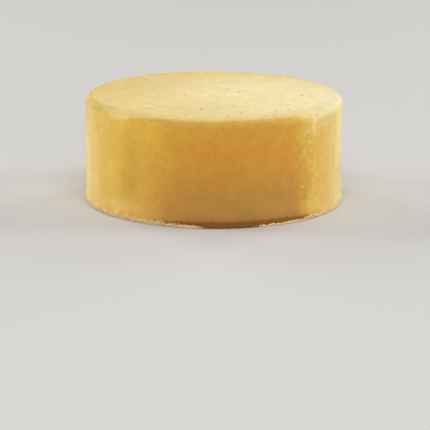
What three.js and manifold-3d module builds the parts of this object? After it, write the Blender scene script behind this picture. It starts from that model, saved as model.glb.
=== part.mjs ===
// Uncut round honey cake under a smooth coat of fine biscuit crumbs, as one solid.
// Millimetres, +Z up. The origin is the middle of the flat base and the front faces -Y.
import * as THREE from 'three';
import { ParametricGeometry } from 'three/addons/geometries/ParametricGeometry.js';
import { mergeVertices } from 'three/addons/utils/BufferGeometryUtils.js';
import Module from 'manifold-3d';

// Driving dimensions
const CAKE_DIAMETER = 200;
const CAKE_HEIGHT = 84;
const EDGE_RADIUS = 6;
const FOOT_RADIUS = 1.4;

// Sizes that follow from them
const CAKE_RADIUS = CAKE_DIAMETER / 2;
const CORNER_ZONE = 1.75 * EDGE_RADIUS;
const WALL_TOP = CAKE_HEIGHT - CORNER_ZONE;
const TOP_FLAT_RADIUS = CAKE_RADIUS - CORNER_ZONE;

// Hand-smoothed unevenness. Angles count from the front, positive to the right.
const DEGREE = Math.PI / 180;
const TURN = 2 * Math.PI;
const WALL_WAVES = [
  { height: 0.2, count: 3, phase: 0.9 },
  { height: 0.12, count: 5, phase: 2.1 },
  { height: 0.08, count: 9, phase: 0.4 },
];
const TOP_WAVES = [
  { height: 0.24, length: 140, heading: 25 * DEGREE, phase: 0.7 },
  { height: 0.16, length: 85, heading: 130 * DEGREE, phase: 1.9 },
];

// Stretches of the top edge that are crisper or softer than the rest
const EDGE_STRETCHES = [
  { angle: -27 * DEGREE, spread: 15 * DEGREE, extraRadius: -3 },
  { angle: -51 * DEGREE, spread: 11 * DEGREE, extraRadius: 3 },
  { angle: 47 * DEGREE, spread: 18 * DEGREE, extraRadius: 4 },
];

// Foot: two stretches with a shallow groove over a bead, and a rounder foot between them
const FOOT_ROUNDING = 2;
const FOOT_GROOVE = { depth: 0.8, height: 5, reach: 2.6, fade: 8 * DEGREE };
const FOOT_GROOVE_SPANS = [
  { angle: 13 * DEGREE, half: 33 * DEGREE },
  { angle: 192 * DEGREE, half: 27 * DEGREE },
];
const FOOT_BEAD = { swell: 0.4, ripple: 0.15, count: 7, phase: 1.3, height: 1.6, reach: 1.8 };

// Facets of the body: steps along each stretch of its section, and steps round it
const FOOT_BAND = 10;
const STRETCH_STEPS = { base: 2, foot: 3, band: 4, wall: 5, edge: 9, top: 5 };
const ROUND_STEPS = 90;

// Crumbs large enough to see from a step away: how many, and their least and greatest size
const CRUMB_SEED = 20261;
const CRUMBS = {
  top: { count: 36, least: 1.3, most: 2.1 },
  wall: { count: 34, least: 1.3, most: 2.0 },
  streak: { count: 12, least: 1.4, most: 2.2 },
  rim: { count: 12, least: 1.2, most: 1.8 },
  foot: { count: 36, least: 1.5, most: 2.6 },
};
const CRUMB_STREAK = { angle: 46 * DEGREE, half: 7 * DEGREE, low: 0.15, high: 0.9 };
const CRUMB_RIM = { low: 0.35, high: 0.75 };
const CRUMB_FOOT_SHARE = 0.6;
const CRUMB_FLATNESS = new THREE.Vector3(1, 0.86, 0.74);
const CRUMB_ROUGHNESS = 0.18;
const CRUMB_RISE = 0.2;
const CRUMB_GAP = 0.5;
const CRUMB_FLOOR_GAP = 0.15;
const CRUMB_STRAY = 0.3;
const GOLDEN_TURN = Math.PI * (3 - Math.sqrt(5));

// Look of the coat
const COAT_COLOUR = 0xe0b767;
const COAT_ROUGHNESS = 0.85;

// Difference of two angles, from minus half a turn to half a turn
function angleBetween(angle, middle) {
  return Math.atan2(Math.sin(angle - middle), Math.cos(angle - middle));
}

// Smooth hill, one at its middle
function hill(offset, spread) {
  return Math.exp(-((offset / spread) ** 2));
}

// One along the stretches of the foot groove and zero between them, with smooth ends
function grooveWindow(angle) {
  const { fade } = FOOT_GROOVE;
  let window = 0;
  for (const span of FOOT_GROOVE_SPANS) {
    const offset = Math.abs(angleBetween(angle, span.angle));
    window += 1 - THREE.MathUtils.smoothstep(offset, span.half - fade, span.half + fade);
  }
  return window;
}

// How far the wall stands off the true cylinder: waves, the groove and the bead at the foot
function wallOffset(angle, height) {
  let offset = 0;
  for (const wave of WALL_WAVES) {
    const climb = (Math.PI * height) / CAKE_HEIGHT;
    offset += wave.height * Math.sin(wave.count * angle + wave.phase + climb);
  }
  const groove = FOOT_GROOVE.depth * hill(height - FOOT_GROOVE.height, FOOT_GROOVE.reach);
  const ripple = FOOT_BEAD.ripple * Math.sin(FOOT_BEAD.count * angle + FOOT_BEAD.phase);
  const bead = (FOOT_BEAD.swell + ripple) * hill(height - FOOT_BEAD.height, FOOT_BEAD.reach);
  return offset + (bead - groove) * grooveWindow(angle);
}

// How far the top stands off the true plane, in slow waves
function topOffset(angle, radius) {
  let offset = 0;
  for (const wave of TOP_WAVES) {
    const along = radius * Math.sin(angle - wave.heading);
    offset += wave.height * Math.sin((TURN * along) / wave.length + wave.phase);
  }
  return offset;
}

// Radius of the top edge's rounding at an angle
function edgeRadius(angle) {
  let radius = EDGE_RADIUS;
  for (const stretch of EDGE_STRETCHES) {
    radius += stretch.extraRadius * hill(angleBetween(angle, stretch.angle), stretch.spread);
  }
  return radius;
}

// Radius of the foot's rounding at an angle
function footRadius(angle) {
  return FOOT_RADIUS + FOOT_ROUNDING * (1 - grooveWindow(angle));
}

// Rounded corner: how far a ray from the inner corner of its zone runs to wall, arc or top
function cornerReach(ray, radius) {
  const across = Math.cos(ray);
  const up = Math.sin(ray);
  const arcCentre = CORNER_ZONE - radius;
  if (CORNER_ZONE * up <= arcCentre * across) return CORNER_ZONE / across;
  if (CORNER_ZONE * across <= arcCentre * up) return CORNER_ZONE / up;
  const alongRay = arcCentre * (across + up);
  return alongRay + Math.sqrt(alongRay ** 2 - 2 * arcCentre ** 2 + radius ** 2);
}

// Outer radius of the flat base at an angle
function baseRadius(angle) {
  return CAKE_RADIUS + wallOffset(angle, footRadius(angle)) - footRadius(angle);
}

// Section of the coat at an angle, by stretch and share along it, as radius and height
const SECTION = {
  base(share, angle) {
    return [share * baseRadius(angle), 0];
  },
  foot(share, angle) {
    const turn = (share * Math.PI) / 2;
    const rounding = footRadius(angle);
    return [baseRadius(angle) + rounding * Math.sin(turn), rounding * (1 - Math.cos(turn))];
  },
  band(share, angle) {
    const height = footRadius(angle) + share * (FOOT_BAND - footRadius(angle));
    return [CAKE_RADIUS + wallOffset(angle, height), height];
  },
  wall(share, angle) {
    const height = FOOT_BAND + share * (WALL_TOP - FOOT_BAND);
    return [CAKE_RADIUS + wallOffset(angle, height), height];
  },
  edge(share, angle) {
    const ray = (share * Math.PI) / 2;
    const reach = cornerReach(ray, edgeRadius(angle));
    const radius = TOP_FLAT_RADIUS + reach * Math.cos(ray);
    const height = WALL_TOP + reach * Math.sin(ray);
    const outward = wallOffset(angle, height) * Math.cos(ray) ** 2;
    const upward = topOffset(angle, radius) * Math.sin(ray) ** 2;
    return [radius + outward, height + upward];
  },
  top(share, angle) {
    const radius = (1 - share) * TOP_FLAT_RADIUS;
    return [radius, CAKE_HEIGHT + topOffset(angle, radius)];
  },
};

// Point of the coat in space
function coatPoint(stretch, share, angle) {
  const [radius, height] = SECTION[stretch](share, angle);
  return new THREE.Vector3(radius * Math.sin(angle), -radius * Math.cos(angle), height);
}

// Outward direction of the coat, from two short steps along it
function coatNormal(stretch, share, angle) {
  const step = 0.001;
  const here = coatPoint(stretch, share, angle);
  const round = coatPoint(stretch, share, angle + step).sub(here);
  const along = coatPoint(stretch, share + step, angle).sub(here);
  return round.cross(along).normalize();
}

// Rows of the body's facets, from the middle of the base to the middle of the top
function sectionRows() {
  const rows = [{ stretch: 'base', share: 0 }];
  for (const [stretch, steps] of Object.entries(STRETCH_STEPS)) {
    for (let step = 1; step <= steps; step += 1) {
      rows.push({ stretch, share: step / steps });
    }
  }
  return rows;
}

// Body of the cake, its rows joined round the axis
function bodyGeometry() {
  const rows = sectionRows();
  const lastRow = rows.length - 1;
  const place = (roundShare, rowShare, target) => {
    const row = rows[Math.round(rowShare * lastRow)];
    const step = Math.round(roundShare * ROUND_STEPS) % ROUND_STEPS;
    target.copy(coatPoint(row.stretch, row.share, (TURN * step) / ROUND_STEPS));
  };
  return new ParametricGeometry(place, ROUND_STEPS, lastRow);
}

// Repeatable draws between zero and one
function seededDraws(seed) {
  let state = seed;
  return () => {
    state = (Math.imul(state, 1664525) + 1013904223) >>> 0;
    return state / 2 ** 32;
  };
}

// Places of the crumbs, spread evenly over each stretch of the coat
function crumbSites(draw) {
  const sites = [];
  const spread = (kind, stretch, placeOne) => {
    const { count, least, most } = CRUMBS[kind];
    for (let index = 0; index < count; index += 1) {
      const step = (index + draw()) / count;
      const [share, angle] = placeOne(step, index);
      sites.push({ stretch, share, angle, size: least + (most - least) * draw() });
    }
  };
  const between = ({ low, high }, step) => low + (high - low) * step;
  spread('top', 'top', (step, index) => [1 - Math.sqrt(step), index * GOLDEN_TURN + CRUMB_STRAY * draw()]);
  spread('wall', 'wall', (step, index) => [step, index * GOLDEN_TURN + CRUMB_STRAY * draw()]);
  spread('streak', 'wall', (step) => {
    const angle = CRUMB_STREAK.angle + CRUMB_STREAK.half * (2 * draw() - 1);
    return [between(CRUMB_STREAK, step), angle];
  });
  spread('rim', 'edge', (step) => [between(CRUMB_RIM, draw()), TURN * step]);
  spread('foot', 'foot', (step) => [CRUMB_FOOT_SHARE, TURN * step]);
  return sites;
}

// Crumbs that keep a gap to those placed before them
function spacedSites(sites) {
  const kept = [];
  for (const site of sites) {
    const point = coatPoint(site.stretch, site.share, site.angle);
    const clear = kept.every((other) => {
      const room = (site.size + other.size) * (0.5 + CRUMB_ROUGHNESS) + CRUMB_GAP;
      return other.point.distanceTo(point) > room;
    });
    if (clear) kept.push({ ...site, point });
  }
  return kept;
}

// Geometry of positions alone, with shared corners and no collapsed triangles
function closedGeometry(geometry) {
  geometry.deleteAttribute('normal');
  geometry.deleteAttribute('uv');
  const merged = mergeVertices(geometry);
  const corners = merged.getIndex().array;
  const kept = [];
  for (let first = 0; first < corners.length; first += 3) {
    const [a, b, c] = corners.slice(first, first + 3);
    if (a !== b && b !== c && c !== a) kept.push(a, b, c);
  }
  merged.setIndex(kept);
  return merged;
}

// One crumb: an uneven, slightly flat lump part sunk in the coat and clear of the ground
function crumbGeometry(site, draw) {
  const half = site.size / 2;
  const lump = closedGeometry(new THREE.IcosahedronGeometry(half, 0));
  const corners = lump.getAttribute('position');
  const corner = new THREE.Vector3();
  for (let index = 0; index < corners.count; index += 1) {
    const swell = 1 + CRUMB_ROUGHNESS * (2 * draw() - 1);
    corner.fromBufferAttribute(corners, index).multiplyScalar(swell);
    corners.setXYZ(index, ...corner.toArray());
  }
  const up = new THREE.Vector3(0, 0, 1);
  const normal = coatNormal(site.stretch, site.share, site.angle);
  const centre = site.point.clone().addScaledVector(normal, CRUMB_RISE * half);
  centre.z = Math.max(centre.z, CRUMB_FLOOR_GAP + half * (1 + CRUMB_ROUGHNESS));
  const stand = new THREE.Quaternion().setFromUnitVectors(up, normal);
  const spin = new THREE.Quaternion().setFromAxisAngle(up, TURN * draw());
  return lump.applyMatrix4(new THREE.Matrix4().compose(centre, stand.multiply(spin), CRUMB_FLATNESS));
}

// Body and crumbs joined into one closed solid
async function cakeGeometry() {
  const wasm = await Module();
  wasm.setup();
  const solid = (geometry) => new wasm.Manifold(new wasm.Mesh({
    numProp: 3,
    vertProperties: new Float32Array(geometry.getAttribute('position').array),
    triVerts: new Uint32Array(geometry.getIndex().array),
  }));
  const draw = seededDraws(CRUMB_SEED);
  let cake = solid(closedGeometry(bodyGeometry()));
  for (const site of spacedSites(crumbSites(draw))) {
    cake = cake.add(solid(crumbGeometry(site, draw)));
  }
  const mesh = cake.getMesh();
  const geometry = new THREE.BufferGeometry();
  geometry.setAttribute('position', new THREE.BufferAttribute(mesh.vertProperties, 3));
  geometry.setIndex(new THREE.BufferAttribute(mesh.triVerts, 1));
  geometry.computeVertexNormals();
  return geometry;
}

// The cake as a scene graph
const coat = new THREE.MeshStandardMaterial({ color: COAT_COLOUR, roughness: COAT_ROUGHNESS, metalness: 0 });
const honeyCake = new THREE.Mesh(await cakeGeometry(), coat);
honeyCake.name = 'honey_cake';
const cakeGroup = new THREE.Group();
cakeGroup.add(honeyCake);

export default cakeGroup;
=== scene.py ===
import math
from collections import namedtuple

import bmesh
import bpy
import numpy as np
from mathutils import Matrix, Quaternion, Vector, noise


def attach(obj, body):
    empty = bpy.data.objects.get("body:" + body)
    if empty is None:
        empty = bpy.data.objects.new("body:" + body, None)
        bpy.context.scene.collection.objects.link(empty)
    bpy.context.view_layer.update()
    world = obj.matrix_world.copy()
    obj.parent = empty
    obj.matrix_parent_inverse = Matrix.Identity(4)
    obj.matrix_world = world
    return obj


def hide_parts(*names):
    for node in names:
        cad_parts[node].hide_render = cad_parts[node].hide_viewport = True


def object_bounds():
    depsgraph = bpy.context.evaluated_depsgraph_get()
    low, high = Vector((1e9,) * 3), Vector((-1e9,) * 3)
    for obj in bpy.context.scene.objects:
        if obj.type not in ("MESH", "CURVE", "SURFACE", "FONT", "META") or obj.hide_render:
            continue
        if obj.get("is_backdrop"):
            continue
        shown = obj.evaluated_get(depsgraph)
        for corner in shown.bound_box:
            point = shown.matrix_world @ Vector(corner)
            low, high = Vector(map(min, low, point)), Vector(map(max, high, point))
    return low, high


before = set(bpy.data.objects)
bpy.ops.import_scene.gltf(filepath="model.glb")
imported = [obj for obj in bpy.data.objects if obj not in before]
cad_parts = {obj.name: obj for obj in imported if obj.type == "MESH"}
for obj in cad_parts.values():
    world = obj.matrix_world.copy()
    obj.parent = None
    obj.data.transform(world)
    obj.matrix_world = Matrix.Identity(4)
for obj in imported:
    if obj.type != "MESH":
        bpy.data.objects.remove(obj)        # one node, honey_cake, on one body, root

CAD_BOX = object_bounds()
BODY = "root"
NODE = "honey_cake"
MM = 0.001
DEGREE = math.pi / 180
TURN = 2 * math.pi
TINY = 1e-9

# Driving dimensions of the solid
CAKE_RADIUS = 100 * MM
CAKE_HEIGHT = 84 * MM
EDGE_RADIUS = 6 * MM
FOOT_RADIUS, FOOT_ROUNDING = 1.4 * MM, 2 * MM
CORNER_ZONE = 1.75 * EDGE_RADIUS
WALL_TOP = CAKE_HEIGHT - CORNER_ZONE
TOP_FLAT_RADIUS = CAKE_RADIUS - CORNER_ZONE

# Hand-smoothed unevenness of the solid
WALL_WAVES = ((0.2 * MM, 3, 0.9), (0.12 * MM, 5, 2.1), (0.08 * MM, 9, 0.4))
TOP_WAVES = ((0.24 * MM, 140 * MM, 25 * DEGREE, 0.7), (0.16 * MM, 85 * MM, 130 * DEGREE, 1.9))
EDGE_STRETCHES = (
    (-27 * DEGREE, 15 * DEGREE, -3 * MM),
    (-51 * DEGREE, 11 * DEGREE, 3 * MM),
    (47 * DEGREE, 18 * DEGREE, 4 * MM),
)
GROOVE_DEPTH, GROOVE_HEIGHT, GROOVE_REACH, GROOVE_FADE = 0.8 * MM, 5 * MM, 2.6 * MM, 8 * DEGREE
GROOVE_SPANS = ((13 * DEGREE, 33 * DEGREE), (192 * DEGREE, 27 * DEGREE))
BEAD_SWELL, BEAD_RIPPLE, BEAD_COUNT, BEAD_PHASE = 0.4 * MM, 0.15 * MM, 7, 1.3
BEAD_HEIGHT, BEAD_REACH = 1.6 * MM, 1.8 * MM

# Larger crumbs that the solid has: how many, and their least and greatest size
FUSED_SEED = 20261
DRAW_FACTOR, DRAW_STEP, DRAW_RANGE = 1664525, 1013904223, 2**32
FUSED_CRUMBS = {
    "top": (36, 1.3 * MM, 2.1 * MM),
    "wall": (34, 1.3 * MM, 2.0 * MM),
    "streak": (12, 1.4 * MM, 2.2 * MM),
    "rim": (12, 1.2 * MM, 1.8 * MM),
    "foot": (36, 1.5 * MM, 2.6 * MM),
}
FUSED_WALL_LOW = 10 * MM
FUSED_STREAK_ANGLE, FUSED_STREAK_HALF = 46 * DEGREE, 7 * DEGREE
FUSED_STREAK_LOW, FUSED_STREAK_HIGH = 0.15, 0.9
FUSED_RIM_LOW, FUSED_RIM_HIGH = 0.35, 0.75
FUSED_FOOT_SHARE, FUSED_FOOT_TOP = 0.6, 4 * MM
FUSED_ROUGHNESS, FUSED_GAP = 0.18, 0.5 * MM
FUSED_STRAY, FUSED_TONES = 0.3, (-0.3, 0.9)
GOLDEN_TURN = math.pi * (3 - math.sqrt(5))

# Steps of the coat's mesh, about a millimetre each
TOP_CELLS = 160
ROUND_STEPS = 4 * TOP_CELLS
BASE_RINGS, FOOT_ROWS, WALL_ROWS, EDGE_ROWS = 3, 6, 76, 24

# Map for baked textures
MAP_MARGIN, MAP_STRIP_LENGTH, MAP_STRIP_HEIGHT, MAP_STRIP_PITCH = 0.005, 0.985, 0.235, 0.25
MAP_DISC_MIDDLE, MAP_DISC_REACH, MAP_DISC_RADIUS = 0.25, 0.24, CAKE_RADIUS + 2 * MM
MAP_TOP_CORNER, MAP_BASE_CORNER = (0.0, 0.5), (0.5, 0.5)
MAP_FLAT_SLOPE = 0.75
MAP_CELL_MIDDLE, MAP_CELL_REACH = 0.5, 0.38

# A pattern of smooth noise: the size of its hills, how much it counts, where it starts, its upward stretch
Pattern = namedtuple("Pattern", "size amount shift stretch", defaults=[1])

# Relief of the crumb coat: lumps, strokes and rough places
LUMPS = (
    Pattern(9 * MM, 0.09 * MM, 3.1),
    Pattern(4.5 * MM, 0.08 * MM, 11.7),
    Pattern(2.6 * MM, 0.06 * MM, 20.3),
)
WALL_STROKES = Pattern(5 * MM, 0.08 * MM, 27.9, stretch=9)
TOP_STROKES, TOP_STROKE_STRETCH = Pattern(4 * MM, 0.05 * MM, 33.4), 12
EDGE_LUMPS = Pattern(3.5 * MM, 0.2 * MM, 37.7)
EDGE_START, EDGE_END = (0.55, 0.85), (0.985, 0.998)
STREAK_LUMPS = Pattern(3.0 * MM, 0.25 * MM, 40.3, stretch=1.2)
STREAK_ANGLE, STREAK_SPREAD, STREAK_RISE = 47 * DEGREE, 7 * DEGREE, (4 * MM, 14 * MM)
ROUGH_FOOT, ROUGH_FOOT_END = Pattern(2.8 * MM, 0.3 * MM, 52.6), (2 * MM, 8 * MM)
RELIEF_RISE = (0.1 * MM, 1.5 * MM)
TOP_START, TOP_SLOPE = (0.3, 0.8), 0.9

# Colours of the top, paler than the wall partly as its own colour and partly as painted sheen and light from
# above: how far it runs over the edge, by angle in degrees and slope, and where it is cream
TOP_END_PROFILE = (
    (-180, 0.6), (-90, 0.7), (-75, 0.85), (-62, 0.8), (-54, 0.45), (-46, 0.1), (-37, 0.15), (-28, 0.48),
    (0, 0.66), (28, 0.72), (36, 0.7), (44, 0.48), (52, 0.2), (62, 0.12), (78, 0.2), (105, 0.5),
)
TOP_END_RAGS = (Pattern(9 * MM, 0.1, 57.3), Pattern(2.6 * MM, 0.06, 57.3))
TOP_END_FADE, TOP_LOWEST_RISE = 0.2, (72 * MM, 79 * MM)
SPILL_SHARE, SPILL_RISE = 0.2, (74 * MM, 82 * MM)
# Painted light on the top: cream towards the front right, less of it at the rim and near the front
CREAM_PLACE, CREAM_END = np.array([45 * MM, -17 * MM]), (26 * MM, 145 * MM)
CREAM_RIM_LOSS, CREAM_RIM_RISE = 0.55, (84 * MM, 97 * MM)
CREAM_GAP_LOSS, CREAM_GAP_PLACE, CREAM_GAP_REACH = 0.42, np.array([-2 * MM, -58 * MM]), 38 * MM
# Painted highlight on the edge: a ridge at front and back, and the right shoulder
RIDGE_ANGLE, RIDGE_SPREAD, RIDGE_SHARE = -6 * DEGREE, 32 * DEGREE, 0.15
SHOULDER_ANGLE, SHOULDER_SPREAD, SHOULDER_SHARE = 80 * DEGREE, 25 * DEGREE, 0.75
SHOULDER_START = (74 * MM, 93 * MM)

# Colours of the wall: deep honey with painted shade at the front and pale gold with painted rim light at the
# sides, by angle in degrees and share
DEEP_PROFILE = (
    (-180, 0.4), (-140, 0.3), (-105, 0.1), (-60, 0), (-46, 0), (-42, 0.2), (-38, 0.35), (-34, 0.25),
    (-25, 0.5), (-16, 0.88), (-6, 1), (37, 1), (41, 0.88), (45, 0.6), (49, 0.26), (53, 0.06), (105, 0.1),
    (150, 0.35),
)
DEEP_LEAN, DEEP_LEAN_END, DEEP_LEAN_START = 3.5 * DEGREE, (12 * MM, 50 * MM), (5 * DEGREE, 30 * DEGREE)
DEEP_LOSS, DEEP_LOSS_RISE = 0.42, (54 * MM, 80 * MM)
DEEP_LOSS_RIGHT, DEEP_LOSS_RIGHT_START = 0.3, (34 * DEGREE, 44 * DEGREE)
# Painted shade: the deep honey drawn darker towards the foot
LOW_SHADE_END = (6 * MM, 66 * MM)
PALE_PROFILE = (
    (-180, 0.1), (-140, 0.2), (-105, 0.6), (-84, 0.95), (-74, 0.83), (-65, 0.54), (-55, 0.18), (-45, 0),
    (44, 0), (55, 0.2), (62, 0.32), (66, 0.58), (70, 0.88), (84, 1.0), (105, 0.6), (140, 0.2),
)
PALE_LOSS, PALE_LOSS_ANGLE, PALE_LOSS_SPREAD = 0.6, -75 * DEGREE, 22 * DEGREE
PALE_LOSS_RISE = (46 * MM, 80 * MM)
# Painted light on the upper right of the wall
UPPER_SIDE_START, UPPER_SIDE_END = (42 * DEGREE, 49 * DEGREE), (85 * DEGREE, 150 * DEGREE)
UPPER_SIDE_SHARE, UPPER_SIDE_RISE = 0.6, (56 * MM, 76 * MM)
# Painted reflection of the board: paler places low on the wall
BOARD_REFLECTION_SHARE, BOARD_REFLECTION_HEIGHT, BOARD_REFLECTION_SPREAD = 0.3, 10 * MM, 7 * MM
BOARD_REFLECTION_PLACES = ((-43 * DEGREE, 15 * DEGREE), (48 * DEGREE, 14 * DEGREE), (150 * DEGREE, 25 * DEGREE))
ANGLE_WOBBLES = (Pattern(28 * MM, 5 * DEGREE, 61.2, stretch=3), Pattern(8 * MM, 3 * DEGREE, 61.2, stretch=6))
# Flecks of the rough streak: painted light where the side light grazes its lumps, with painted shade between
# them
FLECKS, FLECK_START, FLECK_LIGHT, FLECK_DARK = Pattern(3.8 * MM, 1, 83.5), (0.05, 0.4), 1.5, 0.25
SMEAR = Pattern(9 * MM, 0.5, 91.4, stretch=2.5)

# Colours of the foot, whose brown is partly its own colour and partly a painted contact shadow, and of the
# underside
BROWN_TOP, BROWN_FADE, BROWN_RAG = 5.4 * MM, 1.5 * MM, Pattern(5 * MM, 0.8 * MM, 71.8)
BROWN_DROOP, BROWN_MIDDLE, BROWN_DROOP_START = 1.2 * MM, 12 * DEGREE, (16 * DEGREE, 36 * DEGREE)
BROWN_END = (28 * DEGREE, 48 * DEGREE)
UNDERSIDE = {"pale": 0.0, "deep": 0.8, "low": 0.4, "brown": 0.35}
UNDERSIDE_START = (0.5, 0.95)

# Lighter and darker places. On the wall: angle in degrees, height in mm, their reach, and how light
WALL_PATCHES = (
    (-47, 76, 17, 8, 1.3),
    (-38.5, 48, 3.5, 24, -0.7),
    (-44, 48, 10, 40, 0.4),
    (-28, 28, 3, 10, 1.0),
    (-27, 66, 5, 8, 0.6),
    (-41, 12, 13, 7, 1.0),
    (47, 12, 8, 6, 0.6),
    (38, 22, 6, 14, 0.5),
    (-12, 74, 12, 8, -0.2),
    (-7, 9, 6, 4, -0.6),
    (14, 12, 5, 6, -0.5),
    (23, 74, 16, 12, -1.0),
    (47.5, 43, 3, 6, 1.0),
    (-60, 42, 16, 34, 0.7),
    (62.5, 76, 3.5, 9, -1.0),
    (78, 22, 12, 14, -1.0),
)
# On the edge, painted shade on the shoulders: angle in degrees, reach, and how light. On the top: x and y in
# mm, their reach, and how light
EDGE_SHADE_PATCHES = ((-66, 17, -1.9), (68, 9, -0.15))
TOP_PATCHES = ((-55, 30, 45, 45, -0.5), (-66, -48, 20, 25, 0.5))
WALL_PATCH_END = (0.2, 0.9)
EDGE_PATCH_START, EDGE_PATCH_END = (0.05, 0.4), (0.93, 0.995)

# Form of a crumb
CRUMB_FLATNESS = np.array([1, 0.86, 0.74])
CRUMB_ROUGHNESS = 0.12
CRUMB_BREAKS, CRUMB_BREAK_DEPTH, CRUMB_LEAST_FACING = 5, (0.55, 1.0), 0.01
CRUMB_TILT, CRUMB_UPRIGHT = 0.35, 0.9
CRUMB_FLOOR_GAP = 0.05 * MM

# Where finer crumbs lie: slopes and heights
GRAIN_TOP_START = (0.85, 0.98)
GRAIN_WALL_SLOPE, GRAIN_WALL_RISE = 0.4, (3 * MM, 12 * MM)
GRAIN_EDGE_SLOPE, GRAIN_EDGE_END = 0.15, (0.9, 0.995)
SCATTER_SLOPE, SCATTER_WALL_SHARE, SCATTER_RISE = -0.2, 0.3, (6 * MM, 12 * MM)
LOW_SPECK_PLACES = ((-39 * DEGREE, 14 * DEGREE), (55 * DEGREE, 12 * DEGREE))
LOW_SPECK_HEIGHT, LOW_SPECK_SPREAD = 4.0 * MM, 1.3 * MM
STREAK_TOP, STREAK_DEEP = 0.12, 0.4

# Fringe of crumbs that lie against the foot
FRINGE_COUNT, FRINGE_SIZES, FRINGE_SPARE = 6000, (0.5 * MM, 1.6 * MM), 4
FRINGE_GAP_ANGLE, FRINGE_START, FRINGE_HALF = 8 * DEGREE, (9 * DEGREE, 20 * DEGREE), 0.5
FRINGE_STACK, FRINGE_STACK_POWER = 3.4 * MM, 1.6
FRINGE_HEAP = Pattern(7 * MM, 0.7, 15.2)
FRINGE_LOW, FRINGE_LOW_ANGLE, FRINGE_FULL_START = 0.3, 15 * DEGREE, (14 * DEGREE, 48 * DEGREE)
FRINGE_SUNK, FRINGE_REACH = 0.1, 0.5 * MM
FRINGE_TONE, FRINGE_TONE_SPREAD = 0.1, 0.35

# Crumbs that stand out: angle in degrees and height in mm on the wall, x and y in mm on the top
SEEN_DARK_WALL = ((-27.6, 80.4), (3.9, 75.8), (34.9, 80.5), (-41.7, 42.8), (-19.7, 20.9), (-28.3, 62))
SEEN_DARK_TOP = (
    (-9, 2), (9, 2), (19, 2), (2, -13), (29, -25), (39, -25), (68, -5), (76, -5), (16, -53),
    (-10, -61), (-17, -53), (-42, -53), (56, -65), (83, -65), (47, -69), (20, -76), (-21, -84),
)
SEEN_LIGHT_WALL = (
    (44, 55), (48, 54), (49, 42), (42, 26), (41, 50), (46, 40), (45, 65), (33, 66), (-20, 74),
)
SEEN_LIGHT_TOP = ((-54, -47), (37, 29), (18, -72))
LIGHT_SIZES, LIGHT_TONES, LIGHT_RISE = (2.0 * MM, 3.2 * MM), (0.2, 0.6), -0.3
LIGHT_TOP, LIGHT_DEEP = 0.15, 0.3
DARK_SIZES, DARK_TONES, DARK_RISE = (1.2 * MM, 2.0 * MM), (0, 1), -0.4
DARK_TOP_GROWTH, DARK_TOP_LIFT, DARK_TOP_TONES = 1.7, 0.1, (-1, -0.6)
SCATTER_SIZES, SCATTER_TONES = (0.5 * MM, 1.2 * MM), (-1, 1)
SCATTER_COUNT, LOW_SPECK_COUNT = 50, 40

# Colours
TOP_GOLD = (0.72, 0.52, 0.18)
# Lighter cream of the painted light on the top
TOP_PAINTED_LIGHT_CREAM = (0.83, 0.70, 0.37)
# Painted highlight of the edge
EDGE_HIGHLIGHT_CREAM = (0.85, 0.75, 0.49)
# Pale gold of the sides with painted rim light
WALL_CREAM_AND_RIM_LIGHT = (0.85, 0.65, 0.28)
WALL_PALE = (0.71, 0.445, 0.064)
# Deep honey with painted shade of the front
WALL_DEEP_AND_SHADE = (0.66, 0.30, 0.033)
# Painted shade low on the wall
WALL_LOW_SHADE = (0.49, 0.247, 0.054)
# Brown of the foot, partly a painted contact shadow, and of burnt specks
BROWN_AND_FOOT_SHADOW = (0.22, 0.083, 0.008)
FRINGE_CREAM = (0.86, 0.64, 0.34)
SPECK_PALE = (0.68, 0.53, 0.24)
SPECK_TOAST = (0.44, 0.25, 0.07)
CRUMB_TOAST = (0.50, 0.28, 0.07)
FLOOR_COLOUR = (0.60, 0.59, 0.575)

# Materials: what is the same all over, the mix node's colour sockets, sizes, and ranges of values
FOOD_SHADER = {
    "Roughness": 0.8,
    "Specular IOR Level": 0.2,
    "Sheen Weight": 0.15,
    "Sheen Roughness": 0.4,
    "Sheen Tint": (1.0, 0.95, 0.80, 1),
    "Subsurface Weight": 0.1,
    "Subsurface Radius": (1.0, 0.55, 0.2),
    "Subsurface Scale": 1.5 * MM,
}
FLOOR_SHADER = {"Base Color": (*FLOOR_COLOUR, 1), "Roughness": 0.9, "Specular IOR Level": 0.1}
MIX_FIRST, MIX_SECOND, MIX_RESULT = 6, 7, 2
NOISE_SPAN, NOISE_ROUGHNESS, NOISE_DETAIL, PIT_DETAIL = (0.3, 0.7), 0.6, 2.0, 4.0
UNIT_SPAN, TONE_SPAN = (0, 1), (-1, 1)
MOTTLE_WARM, MOTTLE_LIGHT = (0.99, 0.96, 0.87), (1.035, 1.085, 1.17)
MOTTLES = ((14 * MM, 0.7), (4.5 * MM, 0.8))
SMEAR_SPAN, SMEAR_BRIGHTNESS = (-2, 2), (0.82, 1.18)
GRAIN_SIZE, GRAIN_BRIGHTNESS = 0.7 * MM, (0.96, 1.04)
DULL_SIZE, DULL_ROUGHNESS = 3 * MM, (0.72, 0.9)
COAT_PITS, CRUMB_PITS = (0.9 * MM, 0.45 * MM), (0.45 * MM, 0.2 * MM)
CRUMB_BRIGHTNESS, TOAST_TONES, TOAST_SHARES = (0.85, 1.15), (-1, -0.1), (0.4, 0)
FLAW_SIZE, FRINGE_FLAWS, SPECK_FLAWS = 0.5 * MM, (0.9, 1.1), (0.8, 1.2)
FRINGE_BRIGHTNESS = (0.75, 1.25)
PALE_TONES, BURNT_TONES = (-1, 0), (0, 1)

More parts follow.
